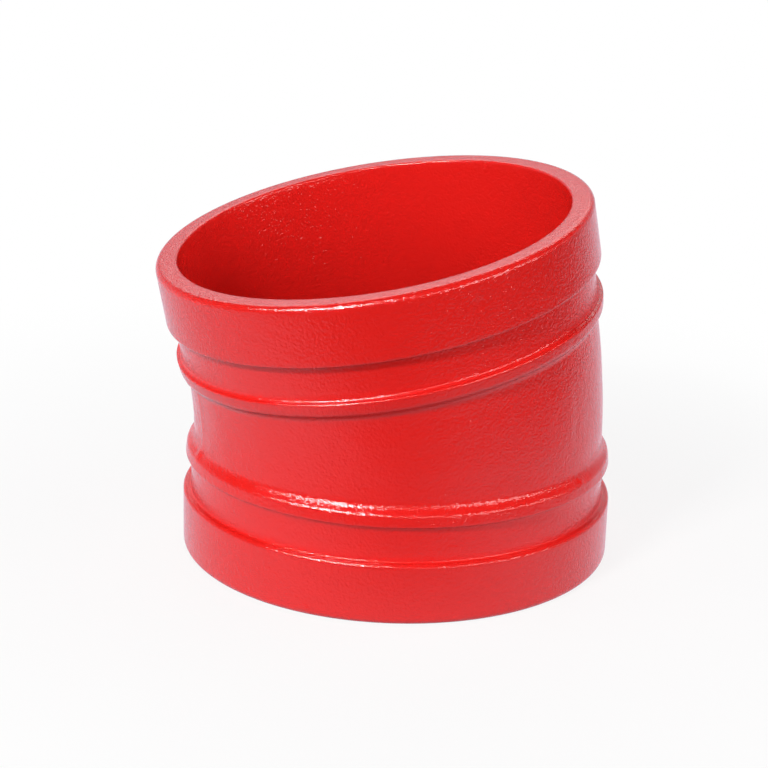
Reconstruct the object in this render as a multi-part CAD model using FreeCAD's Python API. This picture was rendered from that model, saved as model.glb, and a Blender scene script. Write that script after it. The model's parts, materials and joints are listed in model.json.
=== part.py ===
"""Grooved pipe elbow, 11.25 degrees, for DN100 pipe: one hollow iron casting.

Millimetres. The origin is the centre of the lower end face. The lower end runs
up along +Z and the bore bends towards -X, in the XZ plane.
"""
import FreeCAD, Part
import math
import os

from FreeCAD import Vector

# Elbow
BEND_ANGLE_DEG = 11.25
CENTRE_TO_END = 44.45

# Section, from the pipe's outside inwards and from the bore outwards
PIPE_OUTSIDE_DIAMETER = 114.3
END_WALL = 5.85
GROOVE_DEPTH = 2.11
RIB_HEIGHT_OVER_GROOVE = 1.46
RIB_CREST_FALL = 0.35
BODY_WALL = 3.0

# Lengths along each end, counted from its face
GASKET_SEAT_LENGTH = 15.88
GROOVE_WIDTH = 9.53
RIB_CREST_WIDTH = 3.1
RIB_FLANK_LENGTH = 1.7
STRAIGHT_BODY_LENGTH = 1.6

# Rounds of the section's corners
FACE_OUTER_ROUND = 1.6
FACE_INNER_ROUND = 0.6
SEAT_EDGE_ROUND = 0.8
SEAT_ROOT_FILLET = 0.4
GROOVE_ROOT_FILLET = 0.95
RIB_GROOVE_EDGE_ROUND = 0.4
RIB_BODY_EDGE_ROUND = 1.6
RIB_ROOT_FILLET = 2.4
MOST_ROUNDED = 0.98  # share of a wall that the rounds at its two ends may take up together

# Mould parting line, left proud of the body between the ribs
PARTING_BEAD_WIDTH = 1.1
PARTING_BEAD_HEIGHT = 0.2

# Radii
pipe_radius = PIPE_OUTSIDE_DIAMETER / 2
bore_radius = pipe_radius - END_WALL
groove_radius = pipe_radius - GROOVE_DEPTH
rib_radius = groove_radius + RIB_HEIGHT_OVER_GROOVE
body_radius = bore_radius + BODY_WALL

# Stations along an end
groove_end = GASKET_SEAT_LENGTH + GROOVE_WIDTH
rib_crest_end = groove_end + RIB_CREST_WIDTH
rib_end = rib_crest_end + RIB_FLANK_LENGTH
bend_start = rib_end + STRAIGHT_BODY_LENGTH

# The bend takes up what the straight ends leave of the centre-to-end length
half_bend = math.radians(BEND_ANGLE_DEG / 2)
bend_radius = (CENTRE_TO_END - bend_start) / math.tan(half_bend)
bend_centre = Vector(-bend_radius, 0, bend_start)
bend_axis = Vector(0, -1, 0)
middle_direction = Vector(-math.sin(half_bend), 0, math.cos(half_bend))

ORIGIN = Vector(0, 0, 0)
UP = Vector(0, 0, 1)


def corner_arc(previous, corner, following, corner_round):
    """Start, middle and end of the arc that rounds one corner of an outline."""
    back = (previous - corner).normalize()
    ahead = (following - corner).normalize()
    half_angle = back.getAngle(ahead) / 2
    setback = corner_round / math.tan(half_angle)
    depth = corner_round / math.sin(half_angle) - corner_round
    middle = corner + (back + ahead).normalize() * depth
    return corner + back * setback, middle, corner + ahead * setback


def setback(previous, corner, following, corner_round):
    """Length that a corner's round takes off each of the two walls beside it."""
    return corner_round / math.tan((previous - corner).getAngle(following - corner) / 2)


def fitted_rounds(points, rounds):
    """The rounds of an outline's corners, made smaller where two would meet on a short wall."""
    following = points[1:] + points[:1]
    setbacks = [setback(points[i - 1], points[i], following[i], rounds[i]) for i in range(len(points))]
    limits = [MOST_ROUNDED * (points[i] - points[i - 1]).Length for i in range(len(points))]
    fits = [limits[i] / max(limits[i], setbacks[i - 1] + setbacks[i]) for i in range(len(points))]
    following_fits = fits[1:] + fits[:1]
    return [rounds[i] * min(fits[i], following_fits[i]) for i in range(len(points))]


def rounded_outline(corners):
    """Closed wire in the XZ plane through (radius, height, round) corners."""
    points = [Vector(radius, 0, height) for radius, height, _ in corners]
    rounds = fitted_rounds(points, [corner_round for _, _, corner_round in corners])
    following = points[1:] + points[:1]
    arcs = [corner_arc(points[i - 1], points[i], following[i], rounds[i]) for i in range(len(points))]
    edges = []
    for index, (start, middle, end) in enumerate(arcs):
        previous_end = arcs[index - 1][2]
        edges.append(Part.makeLine(previous_end, start))
        if rounds[index] > 0:
            edges.append(Part.Arc(start, middle, end).toShape())
    return Part.Wire(edges)


def ring_face(inner_radius, outer_radius, height):
    """Flat annulus square to the lower end's axis."""
    centre = Vector(0, 0, height)
    outer = Part.Wire(Part.makeCircle(outer_radius, centre, UP))
    inner = Part.Wire(Part.makeCircle(inner_radius, centre, UP))
    return Part.Face([outer, inner], "Part::FaceMakerBullseye")


def bent_ring(inner_radius, outer_radius):
    """Annulus swept through the bend, from one straight end to the other."""
    return ring_face(inner_radius, outer_radius, bend_start).revolve(bend_centre, bend_axis, BEND_ANGLE_DEG)


def mirrored_to_upper_end(shape):
    """The same shape on the other side of the bend's middle plane."""
    return shape.mirror(bend_centre, middle_direction)


def grooved_end():
    """Straight end: gasket seat, coupling groove and the rib behind it."""
    section = rounded_outline([
        (bore_radius, 0, FACE_INNER_ROUND),
        (pipe_radius, 0, FACE_OUTER_ROUND),
        (pipe_radius, GASKET_SEAT_LENGTH, SEAT_EDGE_ROUND),
        (groove_radius, GASKET_SEAT_LENGTH, SEAT_ROOT_FILLET),
        (groove_radius, groove_end, GROOVE_ROOT_FILLET),
        (rib_radius, groove_end, RIB_GROOVE_EDGE_ROUND),
        (rib_radius - RIB_CREST_FALL, rib_crest_end, RIB_BODY_EDGE_ROUND),
        (body_radius, rib_end, RIB_ROOT_FILLET),
        (body_radius, bend_start, 0),
        (bore_radius, bend_start, 0),
    ])
    return Part.Face(section).revolve(ORIGIN, UP, 360)


def parting_beads():
    """Two low beads along the mould's parting plane, from rib to rib."""
    wall_middle = bore_radius + BODY_WALL / 2
    crest = body_radius + PARTING_BEAD_HEIGHT
    rib_middle = groove_end + RIB_CREST_WIDTH / 2
    straight = ring_face(wall_middle, crest, rib_middle).extrude(UP * (bend_start - rib_middle))
    band = bent_ring(wall_middle, crest).fuse([straight, mirrored_to_upper_end(straight)])
    reach = PIPE_OUTSIDE_DIAMETER + CENTRE_TO_END
    slab = Part.makeBox(2 * reach, PARTING_BEAD_WIDTH, 2 * reach)
    slab.translate(Vector(-reach, -PARTING_BEAD_WIDTH / 2, -reach))
    return band.common(slab)


lower_end = grooved_end()
upper_end = mirrored_to_upper_end(lower_end)
body = bent_ring(bore_radius, body_radius)
elbow_casting = body.fuse([lower_end, upper_end, parting_beads()]).removeSplitter()

os.makedirs("parts", exist_ok=True)
elbow_casting.exportStep("parts/elbow_casting.step")
print("solids", len(elbow_casting.Solids), "valid", elbow_casting.isValid())
print("volume in cubic centimetres", round(elbow_casting.Volume / 1000, 2))
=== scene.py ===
import json
import math

import bpy
import numpy as np
from mathutils import Matrix, Vector, noise


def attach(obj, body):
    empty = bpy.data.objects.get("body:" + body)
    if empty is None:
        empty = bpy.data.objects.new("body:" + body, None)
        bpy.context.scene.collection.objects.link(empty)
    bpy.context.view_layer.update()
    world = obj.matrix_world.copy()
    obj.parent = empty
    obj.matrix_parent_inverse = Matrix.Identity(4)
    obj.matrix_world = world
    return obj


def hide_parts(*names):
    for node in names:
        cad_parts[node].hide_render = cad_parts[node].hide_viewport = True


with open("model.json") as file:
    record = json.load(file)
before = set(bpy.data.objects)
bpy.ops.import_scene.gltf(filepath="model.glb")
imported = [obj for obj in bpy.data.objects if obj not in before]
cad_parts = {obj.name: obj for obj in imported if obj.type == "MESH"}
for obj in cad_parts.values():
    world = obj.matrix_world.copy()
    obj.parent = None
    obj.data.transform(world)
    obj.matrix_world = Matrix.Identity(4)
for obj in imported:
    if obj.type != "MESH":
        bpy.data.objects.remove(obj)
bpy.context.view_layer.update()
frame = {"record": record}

MM = 0.001
ORIGIN = (0, 0, 0)
UP = (0, 0, 1)

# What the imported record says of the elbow
mounts = {mount["name"]: mount for mount in frame["record"]["mounts"]}
upper_face_centre = Vector(mounts["upper_groove"]["pos_m"])
upper_axis = Vector(mounts["upper_groove"]["axis"])
PIPE_RADIUS = mounts["lower_end"]["dims"]["r_mm"] * MM
BEND_ANGLE = math.atan2(-upper_axis.x, upper_axis.z)
CENTRE_TO_END = upper_face_centre.length / (2 * math.cos(BEND_ANGLE / 2))

# Section, as the casting has it
END_WALL = 5.85 * MM
GROOVE_DEPTH = 2.11 * MM
RIB_HEIGHT_OVER_GROOVE = 1.46 * MM
BODY_WALL = 3.0 * MM
GASKET_SEAT_LENGTH = 15.88 * MM
GROOVE_WIDTH = 9.53 * MM
RIB_CREST_WIDTH = 3.1 * MM
RIB_CREST_FALL = 0.35 * MM
RIB_FLANK_LENGTH = 1.7 * MM
STRAIGHT_BODY_LENGTH = 1.6 * MM
FACE_OUTER_ROUND = 1.6 * MM
FACE_INNER_ROUND = 0.6 * MM
SEAT_EDGE_ROUND = 0.8 * MM
SEAT_ROOT_FILLET = 0.4 * MM
GROOVE_ROOT_FILLET = 0.95 * MM
RIB_GROOVE_EDGE_ROUND = 0.4 * MM
RIB_BODY_EDGE_ROUND = 1.6 * MM
RIB_ROOT_FILLET = 2.4 * MM

BORE_RADIUS = PIPE_RADIUS - END_WALL
GROOVE_RADIUS = PIPE_RADIUS - GROOVE_DEPTH
RIB_RADIUS = GROOVE_RADIUS + RIB_HEIGHT_OVER_GROOVE
BODY_RADIUS = BORE_RADIUS + BODY_WALL
GROOVE_END = GASKET_SEAT_LENGTH + GROOVE_WIDTH
RIB_CREST_END = GROOVE_END + RIB_CREST_WIDTH
RIB_END = RIB_CREST_END + RIB_FLANK_LENGTH
BEND_START = RIB_END + STRAIGHT_BODY_LENGTH
BEND_RADIUS = (CENTRE_TO_END - BEND_START) / math.tan(BEND_ANGLE / 2)
BEND_LENGTH = BEND_RADIUS * BEND_ANGLE
RUN_LENGTH = 2 * BEND_START + BEND_LENGTH

# Parting line, and a bare low pad on the side of the body, sharper on its right
PARTING_BEAD_WIDTH = 1.1 * MM
PARTING_BEAD_HEIGHT = 0.2 * MM
PAD_ANGLES = (math.radians(-123), math.radians(-57))
PAD_HALF_LENGTH = 7.2 * MM
PAD_HEIGHT = 0.12 * MM
PAD_END_SOFTNESS = 3.0 * MM
PAD_LEFT_SOFTNESS = 3.0 * MM
PAD_RIGHT_SOFTNESS = 0.6 * MM

# Unevenness of the casting, in millimetres: size of the bumps, height, and place in the noise
RIPPLES = [
    (16, 0.12, (3.1, 0.4, 7.7)),
    (5.0, 0.05, (9.2, 5.5, 1.3)),
    (2.4, 0.028, (2.6, 8.8, 4.4)),
]
SEAT_UNEVENNESS = 0.3  # share of it that the gasket seats have
FACE_FADE = 3 * MM  # length over which it dies away towards the flat end faces

# Blemishes, in millimetres and degrees: distance from the lower face, radius, angle, size, height
LUMPS = [
    (30.6, 55.6, 178.5, 1.3, 0.9),
    (29.6, 56.2, -54.9, 0.9, 0.6),
    (1.9, 57.1, -134.7, 0.75, 0.45),
    (82.0, 57.1, -86.2, 1.0, -0.3),
    (80.0, 57.1, -148.0, 0.45, 0.22),
    (67.1, 55.0, -137.0, 0.45, 0.22),
]

# Paint and the grain under it: grain in bumps per metre
PAINT_RED = (0.76, 0.0150, 0.0120, 1)
PAINT_ROUGHNESS = 0.10
PAINT_IOR = 1.5
COARSE_GRAIN = 700
COARSE_HEIGHT = 0.06 * MM
FINE_GRAIN = 1450
FINE_HEIGHT = 0.22 * MM
GRAIN_DETAIL = 2

# Mesh density; columns are closer on the side that the pad is on
COLUMNS = 400
DENSE_ANGLE = math.radians(-112)
DENSE_SHARE = 0.33
SEAT_STEP = 1.1 * MM
BODY_STEP = 0.62 * MM
BORE_STEP = 2.0 * MM
ROUND_STEP = 0.28 * MM

# Camera, solved from the elbow's edges in the photograph; angles in degrees
CAMERA_LENS = 97.23
CAMERA_SENSOR = 36
CAMERA_AZIMUTH = -22.18
CAMERA_ELEVATION = 18.39
CAMERA_ROLL = 1.69
CAMERA_RANGE = 551.04 * MM
CAMERA_CLIP = (0.05, 50)
CAMERA_TARGET = Vector((-3.96, 0.985, 43.862)) * MM

# White sheet, dark past its edges to the gloss and the bounce; each edge has a direction and where
# the sheet starts and stops fading
FLOOR_REACH = 8.0
FLOOR_ROUGHNESS = 0.9
SHEET_WHITE = 0.82
SHEET_BOUNCE = 0.34
PAST_EDGE_BOUNCE = 0.06
SHEET_GLOW = 0.93
SHEET_EDGES = [((-0.472, -0.881, 0), 0.136, 0.180), ((0.577, -0.817, 0), 0.056, 0.394)]
# Painted shadow of the elbow on the sheet, in its glow and its bounce: centre, reach and depth
SHADE_CENTRE = (-0.045, -0.122, 0)
SHADE_REACH = 0.100
SHADE_DEPTH = 0.76
SEEN_SHARE = 0.85
SEEN_REACH = (0.08, 0.26)

# Room with a white wall behind the elbow; the wall fades by direction, sideways and upwards
PURE_WHITE = (1, 1, 1, 1)
COOL_WHITE = (1.0, 0.93, 1.06, 1)
WALL_DIRECTION = (0.38, 0.92, 0)
WALL_SIDE_FADE = (0.1, 0.7)
WALL_TOP_FADE = (0.25, 0.45)
WALL_GLOW = 0.60
ROOM_GLOW = 0.04

# Lamps, aimed at the elbow: name, azimuth to the right of the camera and elevation in degrees,
# width and height in metres, and radiance. The first set lights the paint and its gloss doesn't
# see it. The second is seen only in the gloss, as highlights, and stands nearer than the first,
# because a lamp loses light where another stands in its plane.
SOFTBOX_RANGE = 1.4
SOFTBOXES = [
    ("key_softbox", -34, 38, 0.26, 0.15, 95.0),
    ("front_softbox", 0, 18, 1.6, 0.6, 2.9),
    ("left_softbox", -80, 18, 1.0, 0.6, 3.1),
    ("right_softbox", 60, 21, 0.9, 0.6, 2.1),
    ("far_right_softbox", 100, 17, 1.0, 0.5, 4.6),
    ("back_softbox", 180, 34, 1.2, 0.5, 2.8),
]
GLINT_RANGE = 1.1
GLINT_BOXES = [
    ("key_glints", -38, 38, 0.70, 0.22, 55.0),
    ("right_glints", 52, 22, 1.2, 0.18, 12.0),
    ("back_glints", 180, 40, 0.95, 0.40, 3.0),
]


def corner_arc(previous, corner, following, corner_round):
    """Points of the arc that rounds one corner, or the corner itself if it is sharp."""
    if corner_round == 0:
        return [corner]
    back = (previous - corner).normalized()
    ahead = (following - corner).normalized()
    half_angle = back.angle(ahead) / 2
    setback = corner_round / math.tan(half_angle)
    centre = corner + (back + ahead).normalized() * (corner_round / math.sin(half_angle))
    start = corner + back * setback - centre
    turn = start.angle_signed(corner + ahead * setback - centre)
    steps = max(3, math.ceil(corner_round * abs(turn) / ROUND_STEP))
    return [centre + Matrix.Rotation(-turn * i / steps, 2) @ start for i in range(steps + 1)]


def end_outline():
    """Outline of one end as (distance from its face, radius), from the bore's edge to the bend."""
    # Distance, radius, round, and the mesh step of the stretch that leads to the corner
    corners = [
        (0, BORE_RADIUS, FACE_INNER_ROUND, BORE_STEP),
        (0, PIPE_RADIUS, FACE_OUTER_ROUND, SEAT_STEP),
        (GASKET_SEAT_LENGTH, PIPE_RADIUS, SEAT_EDGE_ROUND, SEAT_STEP),
        (GASKET_SEAT_LENGTH, GROOVE_RADIUS, SEAT_ROOT_FILLET, BODY_STEP),
        (GROOVE_END, GROOVE_RADIUS, GROOVE_ROOT_FILLET, SEAT_STEP),
        (GROOVE_END, RIB_RADIUS, RIB_GROOVE_EDGE_ROUND, BODY_STEP),
        (RIB_CREST_END, RIB_RADIUS - RIB_CREST_FALL, RIB_BODY_EDGE_ROUND, BODY_STEP),
        (RIB_END, BODY_RADIUS, RIB_ROOT_FILLET, BODY_STEP),
        (BEND_START, BODY_RADIUS, 0, BODY_STEP),
    ]
    points = [Vector(corner[:2]) for corner in corners]
    before_first = Vector((BEND_START, BORE_RADIUS))
    after_last = Vector((RUN_LENGTH, BODY_RADIUS))
    around = [before_first] + points + [after_last]
    outline = []
    for index, (_, _, corner_round, step) in enumerate(corners):
        arc = corner_arc(around[index], points[index], around[index + 2], corner_round)
        if outline:
            outline += straight_points(outline[-1], arc[0], step)
        outline += arc
    return outline


def straight_points(start, end, step):
    """Points strictly between two points of an outline, at most a step apart."""
    count = max(1, math.ceil((end - start).length / step))
    return [start.lerp(end, i / count) for i in range(1, count)]


def closed_outline():
    """Whole section as an (n, 2) array of (distance along the run, radius), bore side last."""
    lower = end_outline()
    upper = [Vector((RUN_LENGTH - point.x, point.y)) for point in reversed(lower)]
    bend = straight_points(lower[-1], upper[0], BODY_STEP)
    bore = straight_points(upper[-1], lower[0], BORE_STEP)
    return np.array([tuple(point) for point in lower + bend + upper + bore])


def outline_normals(outline):
    """Unit normal of the section at each point, pointing out of the iron."""
    along = np.roll(outline, -1, axis=0) - np.roll(outline, 1, axis=0)
    along /= np.linalg.norm(along, axis=1, keepdims=True)
    return np.stack([-along[:, 1], along[:, 0]], axis=1)


def run_frame(distance):
    """Centreline point, direction and in-plane normal at distances along the run."""
    turn = np.clip((distance - BEND_START) / BEND_RADIUS, 0, BEND_ANGLE)
    past = np.maximum(distance - BEND_START - BEND_LENGTH, 0)
    direction = np.stack([-np.sin(turn), np.zeros_like(turn), np.cos(turn)], axis=-1)
    normal = np.stack([np.cos(turn), np.zeros_like(turn), np.sin(turn)], axis=-1)
    bend_centre = np.array([-BEND_RADIUS, 0, 0])
    point = bend_centre + BEND_RADIUS * normal + past[..., None] * direction
    point[..., 2] += np.minimum(distance, BEND_START)
    return point, direction, normal


def on_surface(distance, radius, angle):
    """Points at a distance along the run, a radius and an angle from the outside of the bend.

    Also gives the direction across the run at each point.
    """
    point, _, normal = run_frame(distance)
    across = np.cos(angle)[..., None] * normal
    across[..., 1] += np.sin(angle)
    return point + radius[..., None] * across, across


def smooth_step(value, low, high):
    """0 below low, 1 above high, and smooth between."""
    share = np.clip((value - low) / (high - low), 0, 1)
    return share * share * (3 - 2 * share)


def ripple(points, size, offset):
    """Smooth noise between about -1 and 1, with bumps of the given size."""
    flat = points.reshape(-1, 3) / size + np.array(offset)
    values = np.fromiter((noise.noise(Vector(p)) for p in flat), float, len(flat))
    return values.reshape(points.shape[:-1])


def parting_beads(base):
    """Low bead on both sides, in the plane of the bend."""
    across = base[..., 1] / (PARTING_BEAD_WIDTH / 2)
    return PARTING_BEAD_HEIGHT * np.exp(-across * across)


def side_pad(distance, angle):
    """Bare raised pad on the side of the body, with soft edges."""
    along = np.abs(distance - RUN_LENGTH / 2) - PAD_HALF_LENGTH
    middle = sum(PAD_ANGLES) / 2
    turn = (angle - middle + math.pi) % (2 * math.pi) - math.pi
    across = (np.abs(turn) - (PAD_ANGLES[1] - PAD_ANGLES[0]) / 2) * BODY_RADIUS
    softness = np.where(turn > 0, PAD_RIGHT_SOFTNESS, PAD_LEFT_SOFTNESS)
    within_ends = 1 - smooth_step(along, -PAD_END_SOFTNESS, PAD_END_SOFTNESS)
    within_sides = 1 - smooth_step(across / softness, -1, 1)
    return PAD_HEIGHT * within_ends * within_sides


def lump(base, place, size, rise):
    """Round blemish of a size and a height at a place."""
    apart = ((base - place) ** 2).sum(axis=-1)
    return rise * np.exp(-apart / (size * size))


def casting_relief(base, distance, radius, angle):
    """Height of the as-cast unevenness over the true section, in metres."""
    from_face = np.minimum(distance, RUN_LENGTH - distance)
    outside = radius > (BORE_RADIUS + BODY_RADIUS) / 2
    body = smooth_step(from_face, GROOVE_END, RIB_END) * outside
    rough = np.where(outside, smooth_step(from_face, GASKET_SEAT_LENGTH, RIB_CREST_END), 1.0)
    off_face = smooth_step(from_face, 0, FACE_FADE)
    uneven = sum(ripple(base, size * MM, offset) * rise * MM for size, rise, offset in RIPPLES)
    height = (SEAT_UNEVENNESS + (1 - SEAT_UNEVENNESS) * rough) * uneven * off_face
    height += parting_beads(base) * body
    height += side_pad(distance, angle) * outside
    for along, out, turn, size, rise in LUMPS:
        place, _ = on_surface(np.array(along * MM), np.array(out * MM), np.array(math.radians(turn)))
        height += lump(base, place, size * MM, rise * MM)
    return height


def wrapped_quads(rows, columns):
    """Quads of a grid of corners that closes on itself both ways."""
    index = np.arange(rows * columns).reshape(rows, columns)
    below = np.roll(index, -1, axis=0)
    quads = np.stack([index, np.roll(index, -1, axis=1), np.roll(below, -1, axis=1), below], axis=-1)
    return quads.reshape(-1, 4)


def grid_mesh(name, vertices, quads):
    """Smooth-shaded mesh object from arrays of corners and quads."""
    mesh = bpy.data.meshes.new(name)
    mesh.from_pydata(vertices.tolist(), [], quads.tolist())
    mesh.polygons.foreach_set("use_smooth", np.ones(len(quads), bool))
    mesh.update()
    piece = bpy.data.objects.new(name, mesh)
    bpy.context.scene.collection.objects.link(piece)
    return piece


def make_casting():
    """The whole casting as one closed mesh, swept round and along the run."""
    outline = closed_outline()
    normals = outline_normals(outline)
    even = np.linspace(0, 2 * math.pi, COLUMNS, endpoint=False)
    angles = DENSE_ANGLE + even - DENSE_SHARE * np.sin(even)
    distance, angle = np.meshgrid(outline[:, 0], angles, indexing="ij")
    radius = np.broadcast_to(outline[:, 1:2], distance.shape)
    base, across = on_surface(distance, radius, angle)
    direction = run_frame(distance)[1]
    outward = normals[:, None, 1:2] * across + normals[:, None, 0:1] * direction
    vertices = base + outward * casting_relief(base, distance, radius, angle)[..., None]
    quads = wrapped_quads(len(outline), COLUMNS)
    return grid_mesh("painted_casting", vertices.reshape(-1, 3), quads)


def principled(name):
    """New material and its Principled shader."""
    material = bpy.data.materials.new(name)
    material.use_nodes = True
    return material, material.node_tree.nodes["Principled BSDF"]


def feed(tree, value, slot):
    """Gives an input a number, or links it to another node's output."""
    if isinstance(value, bpy.types.NodeSocket):
        tree.links.new(value, slot)
    else:
        slot.default_value = value


def node_math(tree, operation, *values):
    """Output of a new math node fed with numbers and sockets."""
    node = tree.nodes.new("ShaderNodeMath")
    node.operation = operation
    for slot, value in zip(node.inputs, values):
        feed(tree, value, slot)
    return node.outputs[0]


def vector_measure(tree, operation, position, other):
    """Dot product of a position with a direction, or its distance from a point."""
    node = tree.nodes.new("ShaderNodeVectorMath")
    node.operation = operation
    tree.links.new(position, node.inputs[0])
    node.inputs[1].default_value = other
    return node.outputs["Value"]


def ramp(tree, value, low, high, start, end):
    """Smooth change from start at low to end at high."""
    node = tree.nodes.new("ShaderNodeMapRange")
    node.interpolation_type = "SMOOTHSTEP"
    tree.links.new(value, node.inputs["Value"])
    for name, number in (("From Min", low), ("From Max", high), ("To Min", start), ("To Max", end)):
        node.inputs[name].default_value = number
    return node.outputs["Result"]


def emitter(tree, colour, strength):
    """Emission shader of a colour; its strength is a number or a socket."""
    node = tree.nodes.new("ShaderNodeEmission")
    node.inputs["Color"].default_value = colour
    feed(tree, strength, node.inputs["Strength"])
    return node.outputs[0]


def mixed(tree, share, first, second):
    """Shader that goes from the first to the second as the share goes from 0 to 1."""
    node = tree.nodes.new("ShaderNodeMixShader")
    for slot, value in zip(node.inputs, (share, first, second)):
        feed(tree, value, slot)
    return node.outputs[0]


def grain_layer(tree, place, scale):
    """Noise texture over the object's own coordinates."""
    node = tree.nodes.new("ShaderNodeTexNoise")
    node.inputs["Scale"].default_value = scale
    node.inputs["Detail"].default_value = GRAIN_DETAIL
    tree.links.new(place, node.inputs["Vector"])
    return node.outputs["Fac"]


def red_paint():
    """Gloss red paint over a sand-cast surface: the sand's grain shows through as orange peel."""
    material, shader = principled("gloss_red_paint")
    tree = material.node_tree
    place = tree.nodes.new("ShaderNodeTexCoord").outputs["Object"]
    coarse = grain_layer(tree, place, COARSE_GRAIN)
    fine = grain_layer(tree, place, FINE_GRAIN)
    height = node_math(tree, "MULTIPLY_ADD", coarse, COARSE_HEIGHT / FINE_HEIGHT, fine)
    bump = tree.nodes.new("ShaderNodeBump")
    bump.inputs["Strength"].default_value = 1.0
    bump.inputs["Distance"].default_value = FINE_HEIGHT
    tree.links.new(height, bump.inputs["Height"])
    tree.links.new(bump.outputs["Normal"], shader.inputs["Normal"])
    shader.inputs["Base Color"].default_value = PAINT_RED
    shader.inputs["Roughness"].default_value = PAINT_ROUGHNESS
    shader.inputs["IOR"].default_value = PAINT_IOR
    return material


def sheet_and_painted_shadow(tree, place):
    """1 on the white sheet, less in the elbow's painted shadow and 0 past the edges."""
    from_shade = vector_measure(tree, "DISTANCE", place, SHADE_CENTRE)
    share = ramp(tree, from_shade, 0, SHADE_REACH, 1 - SHADE_DEPTH, 1.0)
    for direction, inside, outside in SHEET_EDGES:
        along = vector_measure(tree, "DOT_PRODUCT", place, direction)
        share = node_math(tree, "MULTIPLY", ramp(tree, along, inside, outside, 1.0, 0.0), share)
    return share


def make_floor():
    """Floor, plain white to the camera, but for the elbow's soft shadow.

    In the gloss it glows white within two edges and is dark past them, with the elbow's painted
    shadow in front and painted shade inside the tube; the painted shadow and the edges darken its
    bounce too.
    """
    corners = np.array([(-1, -1, 0), (1, -1, 0), (1, 1, 0), (-1, 1, 0)]) * FLOOR_REACH
    floor = grid_mesh("studio_floor", corners, np.array([[0, 1, 2, 3]]))
    material, shader = principled("white_sheet")
    tree = material.node_tree
    shader.inputs["Roughness"].default_value = FLOOR_ROUGHNESS
    shader.inputs["Specular IOR Level"].default_value = 0.0
    place = tree.nodes.new("ShaderNodeTexCoord").outputs["Object"]
    light_path = tree.nodes.new("ShaderNodeLightPath")
    seen = light_path.outputs["Is Camera Ray"]
    in_gloss = light_path.outputs["Is Glossy Ray"]
    mirrored = node_math(tree, "MAXIMUM", in_gloss, light_path.outputs["Is Transmission Ray"])
    # Share of the sheet, with the elbow's painted shadow in it; it sets both the glow in the gloss
    # and the bounce
    sheet_with_painted_shadow = sheet_and_painted_shadow(tree, place)
    bounce = ramp(tree, sheet_with_painted_shadow, 0.0, 1.0, PAST_EDGE_BOUNCE, SHEET_BOUNCE)
    white = node_math(tree, "MAXIMUM", bounce, node_math(tree, "MULTIPLY", seen, SHEET_WHITE))
    tree.links.new(white, shader.inputs["Base Color"])
    from_middle = vector_measure(tree, "DISTANCE", place, ORIGIN)
    # Painted shade inside the tube: no glow within the bore
    glow_with_painted_tube_shade = ramp(tree, from_middle, BORE_RADIUS, BODY_RADIUS, 0.0, SHEET_GLOW)
    glow = emitter(tree, COOL_WHITE, node_math(tree, "MULTIPLY", sheet_with_painted_shadow, glow_with_painted_tube_shade))
    surface = mixed(tree, mirrored, shader.outputs[0], glow)
    unshaded = ramp(tree, from_middle, *SEEN_REACH, SEEN_SHARE, 1.0)
    seen_share = node_math(tree, "MULTIPLY", seen, unshaded)
    surface = mixed(tree, seen_share, surface, emitter(tree, PURE_WHITE, 1.0))
    tree.links.new(surface, tree.nodes["Material Output"].inputs["Surface"])
    floor.data.materials.append(material)


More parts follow.
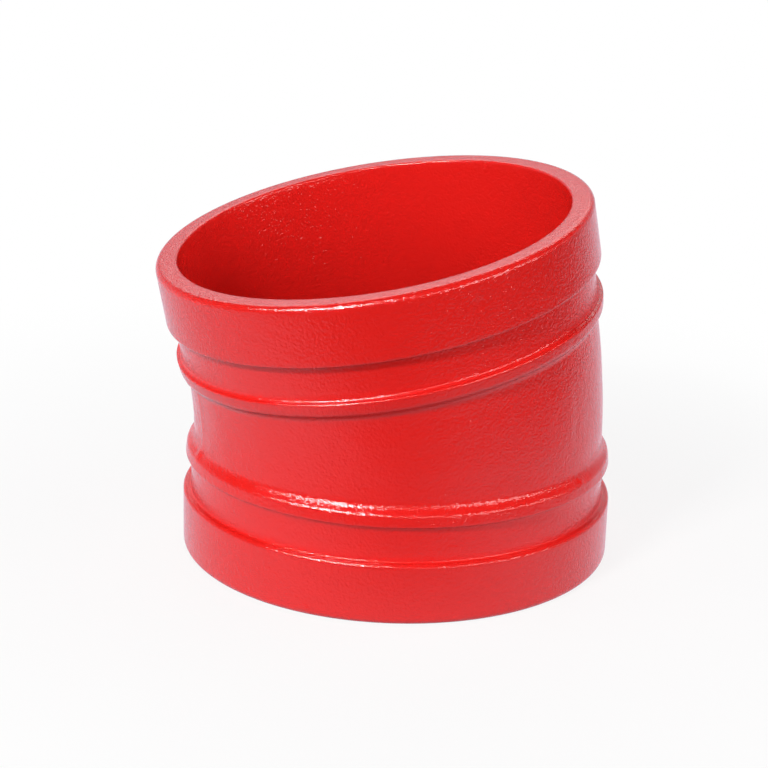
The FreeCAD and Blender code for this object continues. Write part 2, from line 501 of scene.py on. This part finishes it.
def make_world():
    """Dim room with a white wall behind the elbow; plain white where the camera sees it."""
    world = bpy.data.worlds.new("studio")
    world.use_nodes = True
    tree = world.node_tree
    direction = tree.nodes.new("ShaderNodeTexCoord").outputs["Generated"]
    light_path = tree.nodes.new("ShaderNodeLightPath")
    behind = vector_measure(tree, "DOT_PRODUCT", direction, WALL_DIRECTION)
    height = vector_measure(tree, "DOT_PRODUCT", direction, UP)
    sideways = ramp(tree, behind, *WALL_SIDE_FADE, 0.0, WALL_GLOW)
    wall = node_math(tree, "MULTIPLY", sideways, ramp(tree, height, *WALL_TOP_FADE, 1.0, 0.0))
    room = emitter(tree, COOL_WHITE, node_math(tree, "ADD", wall, ROOM_GLOW))
    surface = mixed(tree, light_path.outputs["Is Camera Ray"], room, emitter(tree, PURE_WHITE, 1.0))
    tree.links.new(surface, tree.nodes["World Output"].inputs["Surface"])
    bpy.context.scene.world = world


def outward_direction(azimuth, elevation):
    """Unit vector away from the elbow; azimuth 0 is -Y and azimuth 90 is +X, in degrees."""
    turn = math.radians(azimuth)
    rise = math.radians(elevation)
    return Vector((math.sin(turn) * math.cos(rise), -math.cos(turn) * math.cos(rise), math.sin(rise)))


def aimed(back, distance, roll=0.0):
    """Placement at a distance from the elbow in a direction, looking back at it."""
    right = Vector(UP).cross(back).normalized()
    level = Matrix((right, back.cross(right), back)).transposed()
    place = Matrix.Translation(CAMERA_TARGET + back * distance)
    return place @ level.to_4x4() @ Matrix.Rotation(roll, 4, "Z")


def make_softbox(distance, name, azimuth, elevation, width, height, radiance):
    """Rectangular lamp aimed at the elbow."""
    lamp = bpy.data.lights.new(name, "AREA")
    lamp.shape = "RECTANGLE"
    lamp.size = width
    lamp.size_y = height
    lamp.energy = radiance * math.pi * width * height
    holder = bpy.data.objects.new(name, lamp)
    bpy.context.scene.collection.objects.link(holder)
    holder.matrix_world = aimed(outward_direction(CAMERA_AZIMUTH + azimuth, elevation), distance)
    return holder


def make_camera():
    """Camera at the photograph's place."""
    camera = bpy.data.cameras.new("camera")
    camera.lens = CAMERA_LENS
    camera.sensor_width = CAMERA_SENSOR
    camera.clip_start, camera.clip_end = CAMERA_CLIP
    holder = bpy.data.objects.new("camera", camera)
    bpy.context.scene.collection.objects.link(holder)
    back = outward_direction(CAMERA_AZIMUTH, CAMERA_ELEVATION)
    holder.matrix_world = aimed(back, CAMERA_RANGE, math.radians(CAMERA_ROLL))
    bpy.context.scene.camera = holder


bpy.context.scene.view_settings.view_transform = "Standard"
make_camera()
make_world()
make_floor()
for softbox in SOFTBOXES:
    make_softbox(SOFTBOX_RANGE, *softbox).visible_glossy = False
for glint_box in GLINT_BOXES:
    make_softbox(GLINT_RANGE, *glint_box).visible_diffuse = False
casting = make_casting()
casting.data.materials.append(red_paint())
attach(casting, "root")
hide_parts("elbow_casting")
